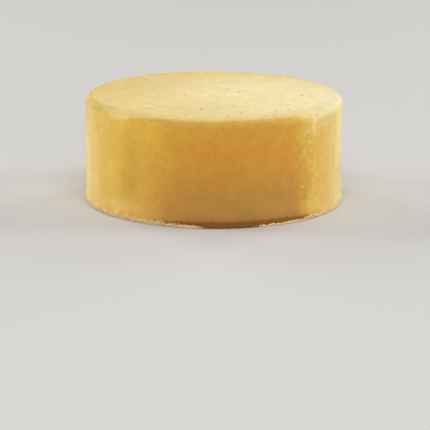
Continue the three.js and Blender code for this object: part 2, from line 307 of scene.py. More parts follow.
# Floor and light: place, width and height in metres, and power in watts of each softbox
FLOOR_SIZE = 12.0
CAKE_MIDDLE = Vector((0, 0, 40 * MM))
SOFTBOXES = {
    "top": ((0.36, 0.36, 2.31), (1.62, 1.44), 7.1),
    "front_top": ((0.0, -1.53, 1.95), (1.8, 0.9), 23.3),
    "front": ((0.9, -2.61, 0.87), (1.62, 1.08), 16.2),
    "front_left": ((-2.07, -1.62, 0.87), (0.9, 1.62), 7.4),
    "left": ((-2.34, 0.45, 0.87), (0.9, 1.62), 24.0),
    "right": ((2.25, 0.18, 0.87), (0.9, 1.62), 24.0),
    "back_left": ((-1.62, 1.8, 0.87), (0.9, 1.62), 22.5),
    "back_right": ((1.62, 1.8, 0.87), (0.9, 1.62), 19.4),
}
WORLD_COLOUR, WORLD_STRENGTH = (1, 1, 1, 1), 0.2

# Camera: a long lens, low over the table, framed as the photograph is
PICTURE_SIZE = 430
MIDDLE_PIXEL_X, MIDDLE_PIXEL_Y = 213.85, 148.57
FOCAL_PIXELS = 2546.6
CAMERA_DISTANCE, CAMERA_NEAR, CAMERA_FAR = 2.0, 0.05, 50
CAMERA_ELEVATION, CAMERA_ROLL = 12.26 * DEGREE, 0.28 * DEGREE
SENSOR_WIDTH = 36.0

RANDOM_SEED = 41
draw = np.random.default_rng(RANDOM_SEED)


# Form of the cake
def hill(offset, spread):
    return np.exp(-((offset / spread) ** 2))


def fade_in(value, low, high):
    """Zero up to the low value, one from the high one on, smooth between them."""
    share = np.clip((value - low) / (high - low), 0, 1)
    return share * share * (3 - 2 * share)


def fade_out(value, low, high):
    return 1 - fade_in(value, low, high)


def angle_between(angle, middle):
    return np.arctan2(np.sin(angle - middle), np.cos(angle - middle))


def hill_round(angle, middle, spread):
    """One at a middle angle, less to both sides of it."""
    return hill(angle_between(angle, middle), spread)


def lobe_offset(angle, middle):
    """Angle from a middle at the front, or from the one opposite to it at the back if that is nearer."""
    return angle_between(2 * (angle - middle), 0) / 2


def angle_of(points):
    return np.arctan2(points[..., 0], -points[..., 1])


def radius_of(points):
    return np.hypot(points[..., 0], points[..., 1])


def groove_window(angle):
    """One inside the stretches of the foot groove, zero outside."""
    window = 0
    for middle, half in GROOVE_SPANS:
        offset = np.abs(angle_between(angle, middle))
        window += fade_out(offset, half - GROOVE_FADE, half + GROOVE_FADE)
    return window


def wall_offset(angle, height):
    """How far the wall stands off the true cylinder."""
    offset = 0
    for size, count, phase in WALL_WAVES:
        offset += size * np.sin(count * angle + phase + math.pi * height / CAKE_HEIGHT)
    groove = GROOVE_DEPTH * hill(height - GROOVE_HEIGHT, GROOVE_REACH)
    ripple = BEAD_RIPPLE * np.sin(BEAD_COUNT * angle + BEAD_PHASE)
    bead = (BEAD_SWELL + ripple) * hill(height - BEAD_HEIGHT, BEAD_REACH)
    return offset + (bead - groove) * groove_window(angle)


def top_offset(angle, radius):
    """How far the top stands off the true plane."""
    offset = 0
    for size, length, heading, phase in TOP_WAVES:
        offset += size * np.sin(TURN * radius * np.sin(angle - heading) / length + phase)
    return offset


def edge_radius(angle):
    """Radius of the top edge's rounding, crisper or softer along some stretches."""
    radius = EDGE_RADIUS
    for middle, spread, extra in EDGE_STRETCHES:
        radius += extra * hill_round(angle, middle, spread)
    return radius


def foot_radius(angle):
    """Radius of the foot's rounding, smaller along the groove."""
    return FOOT_RADIUS + FOOT_ROUNDING * (1 - groove_window(angle))


def base_radius(angle):
    return CAKE_RADIUS + wall_offset(angle, foot_radius(angle)) - foot_radius(angle)


def corner_reach(ray, radius):
    """How far a ray from the inner corner of the rounded zone runs to wall, arc or top."""
    across, up = np.cos(ray), np.sin(ray)
    arc_centre = CORNER_ZONE - radius
    along = arc_centre * (across + up)
    reach = along + np.sqrt(np.maximum(along**2 - 2 * arc_centre**2 + radius**2, 0))
    meets_wall = CORNER_ZONE * up <= arc_centre * across
    meets_top = CORNER_ZONE * across <= arc_centre * up
    reach = np.where(meets_wall, CORNER_ZONE / np.maximum(across, TINY), reach)
    return np.where(meets_top, CORNER_ZONE / np.maximum(up, TINY), reach)


def in_space(radius, height, angle):
    x, y = radius * np.sin(angle), -radius * np.cos(angle)
    return np.stack(np.broadcast_arrays(x, y, height), axis=-1)


def base_point(share, angle):
    return in_space(share * base_radius(angle), 0.0, angle)


def foot_point(share, angle):
    turn = share * math.pi / 2
    rounding = foot_radius(angle)
    radius = base_radius(angle) + rounding * math.sin(turn)
    return in_space(radius, rounding * (1 - math.cos(turn)), angle)


def upright_point(height, angle):
    return in_space(CAKE_RADIUS + wall_offset(angle, height), height, angle)


def wall_point(share, angle):
    low = foot_radius(angle)
    return upright_point(low + share * (WALL_TOP - low), angle)


def edge_point(share, angle):
    ray = share * math.pi / 2
    reach = corner_reach(ray, edge_radius(angle))
    radius = TOP_FLAT_RADIUS + reach * math.cos(ray)
    height = WALL_TOP + reach * math.sin(ray)
    outward = wall_offset(angle, height) * math.cos(ray) ** 2
    upward = top_offset(angle, radius) * math.sin(ray) ** 2
    return in_space(radius + outward, height + upward, angle)


def top_point(share, angle):
    radius = (1 - share) * TOP_FLAT_RADIUS
    return in_space(radius, CAKE_HEIGHT + top_offset(angle, radius), angle)


# Mesh of the smooth coat
def coat_rows():
    """Rings of points from near the middle of the base up to the flat of the top."""
    angle = TURN * np.arange(ROUND_STEPS) / ROUND_STEPS
    stretches = (
        (base_point, BASE_RINGS),
        (foot_point, FOOT_ROWS),
        (wall_point, WALL_ROWS),
        (edge_point, EDGE_ROWS),
    )
    rows = []
    for place, steps in stretches:
        rows += [place(step / steps, angle) for step in range(1, steps + 1)]
    return np.array(rows)


def disc_grid():
    """Square grid drawn out to a disc of radius one: radius, angle, and the ring point its rim meets."""
    line = np.linspace(-1, 1, TOP_CELLS + 1)
    across, along = np.meshgrid(line, line, indexing="ij")
    wide = np.abs(across) > np.abs(along)
    radius = np.where(wide, across, along)
    safe = np.where(radius == 0, 1, radius)
    turn = np.where(wide, math.pi / 4 * along / safe, math.pi / 2 - math.pi / 4 * across / safe)
    angle = angle_of(np.stack([radius * np.cos(turn), radius * np.sin(turn)], axis=-1))
    ring_point = np.round(angle / TURN * ROUND_STEPS).astype(int) % ROUND_STEPS
    return np.abs(radius), angle, ring_point


def quad_triangles(a, b, c, d):
    halves = [np.stack(corners, axis=-1).reshape(-1, 3) for corners in ((a, b, c), (a, c, d))]
    return np.concatenate(halves)


def coat_arrays():
    """Points and triangles of the smooth coat, closed at the base and over the top."""
    rows = coat_rows()
    ring = np.arange(ROUND_STEPS)
    after = (ring + 1) % ROUND_STEPS
    faces = [np.stack([np.zeros_like(ring), 1 + after, 1 + ring], axis=-1)]
    for row in range(len(rows) - 1):
        low = 1 + row * ROUND_STEPS
        high = low + ROUND_STEPS
        faces.append(quad_triangles(low + ring, low + after, high + after, high + ring))
    last_ring = 1 + (len(rows) - 1) * ROUND_STEPS
    share, angle, ring_point = disc_grid()
    rim = np.zeros(share.shape, bool)
    rim[[0, -1], :] = True
    rim[:, [0, -1]] = True
    number = last_ring + ring_point
    number[~rim] = last_ring + ROUND_STEPS + np.arange((~rim).sum())
    disc = top_point(1 - share[~rim], angle[~rim])
    faces.append(quad_triangles(number[:-1, :-1], number[1:, :-1], number[1:, 1:], number[:-1, 1:]))
    points = np.concatenate([np.zeros((1, 3)), rows.reshape(-1, 3), disc])
    return points, np.concatenate(faces)


def face_normals(corners):
    """Normals of triangles, as long as twice their area."""
    return np.cross(corners[:, 1] - corners[:, 0], corners[:, 2] - corners[:, 0])


def point_normals(points, faces):
    face_normal = face_normals(points[faces])
    normal = np.zeros_like(points)
    for corner in range(3):
        np.add.at(normal, faces[:, corner], face_normal)
    return normal / np.maximum(np.linalg.norm(normal, axis=1, keepdims=True), TINY)


# Relief of the coat
def noisy(points, pattern):
    """Smooth noise with hills of the pattern's size, between about minus and plus its amount."""
    places = points / [1, 1, pattern.stretch] / pattern.size + pattern.shift
    return pattern.amount * np.array([noise.noise(Vector(place)) for place in places])


def streak_share(points, slope):
    """How much a point belongs to the rough upright streak on the right of the wall."""
    beside = hill_round(angle_of(points), STREAK_ANGLE, STREAK_SPREAD)
    return fade_out(slope, *TOP_START) * beside * fade_in(points[:, 2], *STREAK_RISE)


def edge_share(slope):
    """How much a point belongs to the upper part of the rounded edge."""
    return fade_in(slope, *EDGE_START) * fade_out(slope, *EDGE_END)


def coat_relief(points, slope):
    """Height of lumps, strokes and rough places over the smooth form."""
    height = points[:, 2]
    top = fade_in(slope, *TOP_START)
    round_top = CAKE_RADIUS * angle_of(points) / TOP_STROKE_STRETCH
    along_strokes = np.stack([radius_of(points), round_top, height], axis=-1)
    relief = sum(noisy(points, lumps) for lumps in LUMPS)
    relief += (1 - top) * noisy(points, WALL_STROKES)
    relief += top * noisy(along_strokes, TOP_STROKES)
    relief += edge_share(slope) * noisy(points, EDGE_LUMPS)
    relief += streak_share(points, slope) * np.maximum(noisy(points, STREAK_LUMPS), 0)
    relief += fade_out(height, *ROUGH_FOOT_END) * noisy(points, ROUGH_FOOT)
    return relief * fade_in(height, *RELIEF_RISE)


# Colour zones, kept on the points of every piece
def share_round(angle, profile):
    """Share at an angle round the cake, between the places of a profile."""
    places, shares = np.array(profile).T
    return np.interp(angle, places * DEGREE, shares, period=TURN)


def top_zone(points, slope):
    """The top's colour, paler partly as its own colour and partly as painted sheen and light from above,
    which runs over the edge to a ragged end.
    """
    height = points[:, 2]
    end = share_round(angle_of(points), TOP_END_PROFILE)
    for rag in TOP_END_RAGS:
        end += noisy(points, rag)
    top = fade_in(slope, end - TOP_END_FADE, end + TOP_END_FADE) * fade_in(height, *TOP_LOWEST_RISE)
    return np.maximum(top, SPILL_SHARE * fade_in(height, *SPILL_RISE))


def edge_highlight_zone(points, slope):
    """Painted highlight on stretches of the edge: a ridge at front and back, and the right shoulder."""
    angle = angle_of(points)
    ridge = RIDGE_SHARE * edge_share(slope) * hill(lobe_offset(angle, RIDGE_ANGLE), RIDGE_SPREAD)
    shoulder = SHOULDER_SHARE * hill_round(angle, SHOULDER_ANGLE, SHOULDER_SPREAD)
    return np.maximum(ridge, shoulder * fade_in(radius_of(points), *SHOULDER_START))


def cream_painted_light_zone(points):
    """Painted light on the top, cream towards the front right, less at the rim, where it is painted shade,
    and in a golden place near the front.
    """
    from_cream = np.linalg.norm(points[:, :2] - CREAM_PLACE, axis=1)
    from_gap = np.linalg.norm(points[:, :2] - CREAM_GAP_PLACE, axis=1)
    cream_painted_light = fade_out(from_cream, *CREAM_END)
    cream_painted_light = cream_painted_light * (1 - CREAM_RIM_LOSS * fade_in(radius_of(points), *CREAM_RIM_RISE))
    return cream_painted_light * (1 - CREAM_GAP_LOSS * hill(from_gap, CREAM_GAP_REACH))


def deep_and_shade_zone(points, around):
    """Deep honey of the wall, partly its own colour and partly painted shade on the front, which leans at
    the lower right and thins upwards.
    """
    angle, height = angle_of(points), points[:, 2]
    lean = DEEP_LEAN * fade_out(height, *DEEP_LEAN_END) * fade_in(angle, *DEEP_LEAN_START)
    loss = DEEP_LOSS + DEEP_LOSS_RIGHT * fade_in(angle, *DEEP_LOSS_RIGHT_START)
    return share_round(around + lean, DEEP_PROFILE) * (1 - loss * fade_in(height, *DEEP_LOSS_RISE))


def pale_and_rim_light_zone(points, around):
    """Pale gold of the sides, partly its own colour and partly painted rim light, painted light on the upper
    right, and a painted reflection of the board in places over the foot.
    """
    angle, height = angle_of(points), points[:, 2]
    loss = PALE_LOSS * hill_round(angle, PALE_LOSS_ANGLE, PALE_LOSS_SPREAD)
    side = share_round(around, PALE_PROFILE) * (1 - loss * fade_in(height, *PALE_LOSS_RISE))
    upper_side = fade_in(angle, *UPPER_SIDE_START) * fade_out(angle, *UPPER_SIDE_END)
    upper_side = UPPER_SIDE_SHARE * upper_side * fade_in(height, *UPPER_SIDE_RISE)
    board_reflection = sum(hill_round(angle, middle, spread) for middle, spread in BOARD_REFLECTION_PLACES)
    board_reflection = BOARD_REFLECTION_SHARE * board_reflection * hill(height - BOARD_REFLECTION_HEIGHT, BOARD_REFLECTION_SPREAD)
    return np.maximum(np.maximum(side, upper_side), board_reflection)


def brown_and_contact_shadow_zone(points):
    """Brown foot at the front and at the back, partly its own darker colour and partly a painted contact
    shadow, with a ragged upper end that droops to its sides.
    """
    from_middle = np.abs(lobe_offset(angle_of(points), BROWN_MIDDLE))
    droop = BROWN_DROOP * fade_in(from_middle, *BROWN_DROOP_START)
    height = points[:, 2] + noisy(points, BROWN_RAG) + droop
    brown = fade_out(height, BROWN_TOP - BROWN_FADE, BROWN_TOP + BROWN_FADE)
    return brown * fade_out(from_middle, *BROWN_END)


def patches(points, slope):
    """Lighter and darker places of the wall and the top, and painted shade on the edge's shoulders."""
    angle = angle_of(points) / DEGREE
    x, y, height = points.T / MM
    wall = sum(share * hill(angle - middle, wide) * hill(height - level, tall)
               for middle, level, wide, tall, share in WALL_PATCHES)
    top = sum(share * hill(x - middle_x, wide) * hill(y - middle_y, deep)
              for middle_x, middle_y, wide, deep, share in TOP_PATCHES)
    edge = sum(share * hill(angle - middle, wide) for middle, wide, share in EDGE_SHADE_PATCHES)
    edge = edge * fade_in(slope, *EDGE_PATCH_START) * fade_out(slope, *EDGE_PATCH_END)
    return np.where(slope > TOP_SLOPE, top, wall * fade_out(slope, *WALL_PATCH_END)) + edge


def smear_zone(points, slope):
    """Lighter and darker smears, the flecks of the rough streak, which are painted light where the side
    light grazes its lumps with painted shade between them, and the patches.
    """
    flecks = fade_in(noisy(points, FLECKS), *FLECK_START)
    flecks = (FLECK_LIGHT * flecks - FLECK_DARK) * streak_share(points, slope)
    return noisy(points, SMEAR) + flecks + patches(points, slope)


def colour_zones(points, slope):
    """Shares of the top, partly painted sheen, its painted edge highlight and painted cream light, the
    wall's pale gold with painted rim light, deep honey with painted shade, the painted shade low on the
    wall, and the foot's brown with painted contact shadow.
    """
    around = angle_of(points)
    for wobble in ANGLE_WOBBLES:
        around += noisy(points, wobble)
    deep = deep_and_shade_zone(points, around)
    zones = {
        "top": top_zone(points, slope),
        "edge": edge_highlight_zone(points, slope),
        "cream_painted_light": cream_painted_light_zone(points),
        "pale": pale_and_rim_light_zone(points, around),
        "deep": deep,
        # Painted shade: the deep honey darker towards the foot
        "low": deep * fade_out(points[:, 2], *LOW_SHADE_END),
        "brown": brown_and_contact_shadow_zone(points),
        "smear": smear_zone(points, slope),
    }
    under = fade_in(-slope, *UNDERSIDE_START)
    for name, share in UNDERSIDE.items():
        zones[name] = zones[name] + under * (share - zones[name])
    return zones


# Pieces
def make_mesh(name, points, faces, smooth):
    mesh = bpy.data.meshes.new(name)
    mesh.vertices.add(len(points))
    mesh.vertices.foreach_set("co", points.astype(np.float32).ravel())
    mesh.loops.add(3 * len(faces))
    mesh.loops.foreach_set("vertex_index", faces.astype(np.int32).ravel())
    mesh.polygons.add(len(faces))
    mesh.polygons.foreach_set("loop_start", np.arange(0, 3 * len(faces), 3, dtype=np.int32))
    mesh.polygons.foreach_set("use_smooth", np.full(len(faces), smooth))
    mesh.update(calc_edges=True)
    return mesh


def keep_values(mesh, values):
    for name, numbers in values.items():
        attribute = mesh.attributes.new(name, "FLOAT", "POINT")
        attribute.data.foreach_set("value", numbers.astype(np.float32))


def keep_bake_map(mesh, corners):
    """Map for baked textures: one place for each corner of each face."""
    layer = mesh.uv_layers.new(name="OFBake")
    layer.uv.foreach_set("vector", corners.astype(np.float32).ravel())


def add_piece(mesh, material):
    piece = bpy.data.objects.new(mesh.name, mesh)
    bpy.context.scene.collection.objects.link(piece)
    mesh.materials.append(material)
    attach(piece, BODY)
    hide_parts(NODE)


# Crumbs
def icosphere(subdivisions):
    """Points and triangles of a round ball of radius one."""
    ball = bmesh.new()
    bmesh.ops.create_icosphere(ball, subdivisions=subdivisions, radius=1)
    points = np.array([vertex.co[:] for vertex in ball.verts])
    faces = np.array([[vertex.index for vertex in face.verts] for face in ball.faces])
    ball.free()
    return points, faces


def octahedron():
    """Points and triangles of the plainest ball, for the finest grains."""
    points = np.concatenate([np.eye(3), -np.eye(3)])
    upper = [[0, 1, 2], [1, 3, 2], [3, 4, 2], [4, 0, 2]]
    lower = [[1, 0, 5], [3, 1, 5], [4, 3, 5], [0, 4, 5]]
    return points, np.array(upper + lower)


GRAIN_BALL, SMALL_BALL, LARGE_BALL, FUSED_BALL = octahedron(), icosphere(1), icosphere(2), icosphere(3)


def directions(vectors):
    return vectors / np.linalg.norm(vectors, axis=-1, keepdims=True)


def broken_shapes(ball, count):
    """Corners of many uneven lumps: balls with a few flat breaks, slightly flattened."""
    breaks = directions(draw.normal(size=(count, CRUMB_BREAKS, 3)))
    depth = draw.uniform(*CRUMB_BREAK_DEPTH, (count, 1, CRUMB_BREAKS))
    facing = np.einsum("vk,cbk->cvb", ball, breaks)
    reach = np.minimum(depth / np.maximum(facing, CRUMB_LEAST_FACING), 1).min(-1)
    reach = reach * (1 + CRUMB_ROUGHNESS * draw.uniform(-1, 1, reach.shape))
    return ball * reach[..., None] * CRUMB_FLATNESS


def turned(shapes, normal):
    """The lumps laid on the coat, each tilted and spun by chance."""
    up = directions(normal + CRUMB_TILT * draw.normal(size=normal.shape))
    helper = np.where(np.abs(up[:, 2:]) < CRUMB_UPRIGHT, [0.0, 0.0, 1.0], [1.0, 0.0, 0.0])
    across = directions(np.cross(helper, up))
    spin = draw.uniform(0, TURN, (len(up), 1))
    first = np.cos(spin) * across + np.sin(spin) * np.cross(up, across)
    axes = np.stack([first, np.cross(up, first), up], axis=1)
    return np.einsum("cvk,ckx->cvx", shapes, axes)


def crumb_map(ball, ball_faces, count):
    """Places on the bake map: a cell for each crumb."""
    cells = math.ceil(math.sqrt(count))
    cell = np.stack([np.arange(count) % cells, np.arange(count) // cells], axis=-1)
    spot = cell[:, None, None] + MAP_CELL_MIDDLE + MAP_CELL_REACH * ball[ball_faces][None, ..., :2]
    return spot / cells


def add_crumbs(name, ball_shape, sites, normal, sizes, zones, tones, material, rise=0):
    """One mesh of many crumbs, with their middles over or under the coat by a share of half their size."""
    ball, ball_faces = ball_shape
    count, corners = len(sites), len(ball)
    half = sizes[:, None] / 2
    points = turned(broken_shapes(ball, count), normal) * half[:, None]
    points = points + (sites + normal * rise * half)[:, None]
    sunk = np.minimum(points[..., 2].min(1) - CRUMB_FLOOR_GAP, 0)
    points[..., 2] -= sunk[:, None]
    faces = ball_faces + corners * np.arange(count)[:, None, None]
    mesh = make_mesh(name, points.reshape(-1, 3), faces.reshape(-1, 3), smooth=False)
    values = {**zones, "tone": tones}
    keep_values(mesh, {key: np.repeat(numbers, corners) for key, numbers in values.items()})
    keep_bake_map(mesh, crumb_map(ball, ball_faces, count))
    add_piece(mesh, material)


# Materials
def set_input(tree, socket, value):
    if isinstance(value, bpy.types.NodeSocket):
        tree.links.new(value, socket)
    else:
        socket.default_value = (*value, 1) if isinstance(value, tuple) else value


def add_node(tree, kind, **inputs):
    node = tree.nodes.new(kind)
    for name, value in inputs.items():
        set_input(tree, node.inputs[name.replace("_", " ")], value)
    return node


def mixed(tree, share, first, second, blend="MIX"):
    mix = tree.nodes.new("ShaderNodeMix")
    mix.data_type = "RGBA"
    mix.blend_type = blend
    set_input(tree, mix.inputs["Factor"], share)
    set_input(tree, mix.inputs[MIX_FIRST], first)
    set_input(tree, mix.inputs[MIX_SECOND], second)
    return mix.outputs[MIX_RESULT]


def kept_value(tree, name):
    node = tree.nodes.new("ShaderNodeAttribute")
    node.attribute_name = name
    return node.outputs["Fac"]


def place_in_cake(tree):
    return tree.nodes.new("ShaderNodeTexCoord").outputs["Object"]


def noise_value(tree, size, detail=NOISE_DETAIL):
    texture = add_node(tree, "ShaderNodeTexNoise", Vector=place_in_cake(tree), Scale=1 / size, Detail=detail,
                       Roughness=NOISE_ROUGHNESS)
    return texture.outputs["Fac"]


def grain_number(tree, size):
    """Fine packed grains, each with a number of its own between zero and one."""
    texture = add_node(tree, "ShaderNodeTexVoronoi", Vector=place_in_cake(tree), Scale=1 / size)
    split = add_node(tree, "ShaderNodeSeparateColor", Color=texture.outputs["Color"])
    return split.outputs["Red"]


def in_range(tree, value, span, result):
    """The value brought from one range to another."""
    node = add_node(tree, "ShaderNodeMapRange", Value=value, From_Min=span[0], From_Max=span[1],
                    To_Min=result[0], To_Max=result[1])
    return node.outputs["Result"]


def brightened(tree, colour, amount):
    node = add_node(tree, "ShaderNodeHueSaturation", Color=colour, Value=amount)
    return node.outputs["Color"]


def mottled(tree, colour, size, share):
    """The colour with soft blotches of a warmer and a lighter shade."""
    blotch = in_range(tree, noise_value(tree, size), NOISE_SPAN, UNIT_SPAN)
    tint = mixed(tree, blotch, MOTTLE_WARM, MOTTLE_LIGHT)
    return mixed(tree, share, colour, tint, "MULTIPLY")


def coat_colour(tree):
    """Colour of the coat by its zones, with the painted light and shade they carry, softly mottled."""
    wall = mixed(tree, kept_value(tree, "deep"), WALL_PALE, WALL_DEEP_AND_SHADE)
    wall = mixed(tree, kept_value(tree, "pale"), wall, WALL_CREAM_AND_RIM_LIGHT)
    wall = mixed(tree, kept_value(tree, "low"), wall, WALL_LOW_SHADE)
    top = mixed(tree, kept_value(tree, "cream_painted_light"), TOP_GOLD, TOP_PAINTED_LIGHT_CREAM)
    top = mixed(tree, kept_value(tree, "edge"), top, EDGE_HIGHLIGHT_CREAM)
    coat = mixed(tree, kept_value(tree, "top"), wall, top)
    coat = mixed(tree, kept_value(tree, "brown"), coat, BROWN_AND_FOOT_SHADOW)
    coat = brightened(tree, coat, in_range(tree, kept_value(tree, "smear"), SMEAR_SPAN, SMEAR_BRIGHTNESS))
    for size, share in MOTTLES:
        coat = mottled(tree, coat, size, share)
    return coat


def new_material(name, values):
    """A material, its nodes and its shader, with what is the same all over it."""
    material = bpy.data.materials.new(name)
    material.use_nodes = True
    shader = material.node_tree.nodes["Principled BSDF"]
    for socket, value in values.items():
        shader.inputs[socket].default_value = value
    return material, material.node_tree, shader


def roughen(tree, shader, size, depth):
    """Fine pits and bumps of broken crumbs."""
    pits = noise_value(tree, size, PIT_DETAIL)
    bump = add_node(tree, "ShaderNodeBump", Strength=1.0, Distance=depth, Height=pits)
    tree.links.new(bump.outputs["Normal"], shader.inputs["Normal"])


def grainy_colour(tree):
    """Colour of the coat, a little lighter or darker from grain to grain."""
    grain = in_range(tree, grain_number(tree, GRAIN_SIZE), UNIT_SPAN, GRAIN_BRIGHTNESS)
    return brightened(tree, coat_colour(tree), grain)


def crumb_colour(tree):
    """Colour of the coat under a crumb, by the crumb's own tone, and toasted where that is dark."""
    tone = in_range(tree, kept_value(tree, "tone"), TONE_SPAN, CRUMB_BRIGHTNESS)
    toast = in_range(tree, kept_value(tree, "tone"), TOAST_TONES, TOAST_SHARES)
    return mixed(tree, toast, brightened(tree, coat_colour(tree), tone), CRUMB_TOAST)


def fringe_colour(tree):
    """Cream of the foot's crumbs, by their own tone."""
    tone = in_range(tree, kept_value(tree, "tone"), TONE_SPAN, FRINGE_BRIGHTNESS)
    flaws = in_range(tree, noise_value(tree, FLAW_SIZE), NOISE_SPAN, FRINGE_FLAWS)
    return brightened(tree, brightened(tree, FRINGE_CREAM, tone), flaws)


def speck_colour(tree):
    """Pale, toasted or burnt brown of the specks, by their own tone."""
    toast = in_range(tree, kept_value(tree, "tone"), PALE_TONES, UNIT_SPAN)
    burnt = in_range(tree, kept_value(tree, "tone"), BURNT_TONES, UNIT_SPAN)
    colour = mixed(tree, toast, SPECK_PALE, SPECK_TOAST)
    flaws = in_range(tree, noise_value(tree, FLAW_SIZE), NOISE_SPAN, SPECK_FLAWS)
    return brightened(tree, mixed(tree, burnt, colour, BROWN_AND_FOOT_SHADOW), flaws)


def food_material(name, colour, pits=None, dull=None):
    """A dry, matt crumb material, with pits of a size and depth, and patches of another roughness."""
    material, tree, shader = new_material(name, FOOD_SHADER)
    tree.links.new(colour(tree), shader.inputs["Base Color"])
    if dull:
        patch = in_range(tree, noise_value(tree, DULL_SIZE), NOISE_SPAN, dull)
        tree.links.new(patch, shader.inputs["Roughness"])
    if pits:
        roughen(tree, shader, *pits)
    return material


# The coat
Coat = namedtuple("Coat", "points faces normal smooth zones")


def coat_map(points, faces, slope):
    """Places on the bake map: two strips of wall below, the top and the base side by side above."""
    corners = points[faces]
    angle = angle_of(corners) % TURN
    crosses = np.ptp(angle, axis=1) > math.pi
    angle = np.where(crosses[:, None] & (angle < math.pi), angle + TURN, angle)
    second = (angle.mean(1) >= math.pi)[:, None]
    upward = slope[faces].mean(1)[:, None, None]
    along = MAP_MARGIN + MAP_STRIP_LENGTH * (angle / math.pi - second)
    climb = MAP_MARGIN + MAP_STRIP_HEIGHT * corners[..., 2] / CAKE_HEIGHT + MAP_STRIP_PITCH * second
    disc = MAP_DISC_MIDDLE + MAP_DISC_REACH * corners[..., :2] / MAP_DISC_RADIUS
    disc = disc + np.where(upward > 0, MAP_TOP_CORNER, MAP_BASE_CORNER)
    return np.where(np.abs(upward) > MAP_FLAT_SLOPE, disc, np.stack([along, climb], axis=-1))


def add_coat():
    """The coat's piece, with its points, faces, normals and zones for the crumbs to lie on."""
    points, faces = coat_arrays()
    smooth_normal = point_normals(points, faces)
    slope = smooth_normal[:, 2]
    zones = colour_zones(points, slope)
    points = points + smooth_normal * coat_relief(points, slope)[:, None]
    mesh = make_mesh("cake_coat", points, faces, smooth=True)
    keep_values(mesh, zones)
    keep_bake_map(mesh, coat_map(points, faces, slope))
    add_piece(mesh, food_material("crumb_coat", grainy_colour, COAT_PITS, DULL_ROUGHNESS))
    return Coat(points, faces, point_normals(points, faces), smooth_normal, zones)


def zones_at(coat, numbers):
    return {name: shares[numbers] for name, shares in coat.zones.items()}


def less_deep_and_shade(zones, share):
    """The zones with only a share of the deep honey with its painted shade, and of the painted shade low on
    the wall.
    """
    return {**zones, "deep": share * zones["deep"], "low": share * zones["low"]}


def nearest_points(coat, sites):
    """Number of the coat's point that is nearest to each site."""
    return np.array([np.argmin(((coat.points - site) ** 2).sum(1)) for site in sites])


# Larger crumbs, where the solid has them
def repeatable_draws(seed):
    state = seed
    while True:
        state = (state * DRAW_FACTOR + DRAW_STEP) % DRAW_RANGE
        yield state / DRAW_RANGE


def fused_sites():
    """Place and size of each larger crumb, spread evenly over each stretch of the coat."""
    draws = repeatable_draws(FUSED_SEED)

    def between(low, high, step):
        return low + (high - low) * step

    def stray(index):
        return index * GOLDEN_TURN + FUSED_STRAY * next(draws)

    def up_wall(step, angle):
        return upright_point(between(FUSED_WALL_LOW, WALL_TOP, step), angle)

    def up_streak(step, index):
        angle = FUSED_STREAK_ANGLE + FUSED_STREAK_HALF * (2 * next(draws) - 1)
        return up_wall(between(FUSED_STREAK_LOW, FUSED_STREAK_HIGH, step), angle)

    def round_rim(step, index):
        return edge_point(between(FUSED_RIM_LOW, FUSED_RIM_HIGH, next(draws)), TURN * step)

    places = {
        "top": lambda step, index: top_point(1 - math.sqrt(step), stray(index)),
        "wall": lambda step, index: up_wall(step, stray(index)),
        "streak": up_streak,
        "rim": round_rim,
        "foot": lambda step, index: foot_point(FUSED_FOOT_SHARE, TURN * step),
    }
    for kind, (count, least, most) in FUSED_CRUMBS.items():
        for index in range(count):
            point = places[kind]((index + next(draws)) / count, index)
            yield point, between(least, most, next(draws))


def spaced(sites):
    """Crumbs that keep a gap to those placed before them."""
    kept = []
    for point, size in sites:
        room = [(size + other) * (0.5 + FUSED_ROUGHNESS) + FUSED_GAP for _, other in kept]
        clear = [math.dist(point, place) > need for (place, _), need in zip(kept, room)]
        if all(clear):
            kept.append((point, size))
    return np.array([point for point, _ in kept]), np.array([size for _, size in kept])


def fringe_share(angle):
    """One where crumbs lie along the foot, zero in a gap at the front and at the back."""
    return fade_in(np.abs(lobe_offset(angle, FRINGE_GAP_ANGLE)), *FRINGE_START)


def add_fused_crumbs(coat, crumb_look, fringe_look):
    points, sizes = spaced(fused_sites())
    in_fringe = (points[:, 2] < FUSED_FOOT_TOP) & (fringe_share(angle_of(points)) > FRINGE_HALF)
    groups = (("crumbs_coarse", ~in_fringe, crumb_look), ("crumbs_coarse_foot", in_fringe, fringe_look))
    for name, chosen, look in groups:
        nearest = nearest_points(coat, points[chosen])
        tones = draw.uniform(*FUSED_TONES, len(nearest))
        add_crumbs(name, FUSED_BALL, points[chosen], coat.smooth[nearest], sizes[chosen],
                   zones_at(coat, nearest), tones, look)


# Finer crumbs, drawn over the coat's triangles by a density
def on_top(place, slope):
    return fade_in(slope, *GRAIN_TOP_START)


def on_wall(place, slope):
    return (np.abs(slope) < GRAIN_WALL_SLOPE) * fade_in(place[:, 2], *GRAIN_WALL_RISE)


def on_edge(place, slope):
    return (slope > GRAIN_EDGE_SLOPE) * fade_out(slope, *GRAIN_EDGE_END)


def anywhere(place, slope):
    share = SCATTER_WALL_SHARE + on_top(place, slope)
    return (slope > SCATTER_SLOPE) * share * fade_in(place[:, 2], *SCATTER_RISE)


def above_fringe(place, slope):
    """Dark specks of the coat just above the crumbs of the foot."""
    angle = angle_of(place)
    beside = sum(hill_round(angle, middle, spread) for middle, spread in LOW_SPECK_PLACES)
    return beside * hill(place[:, 2] - LOW_SPECK_HEIGHT, LOW_SPECK_SPREAD)


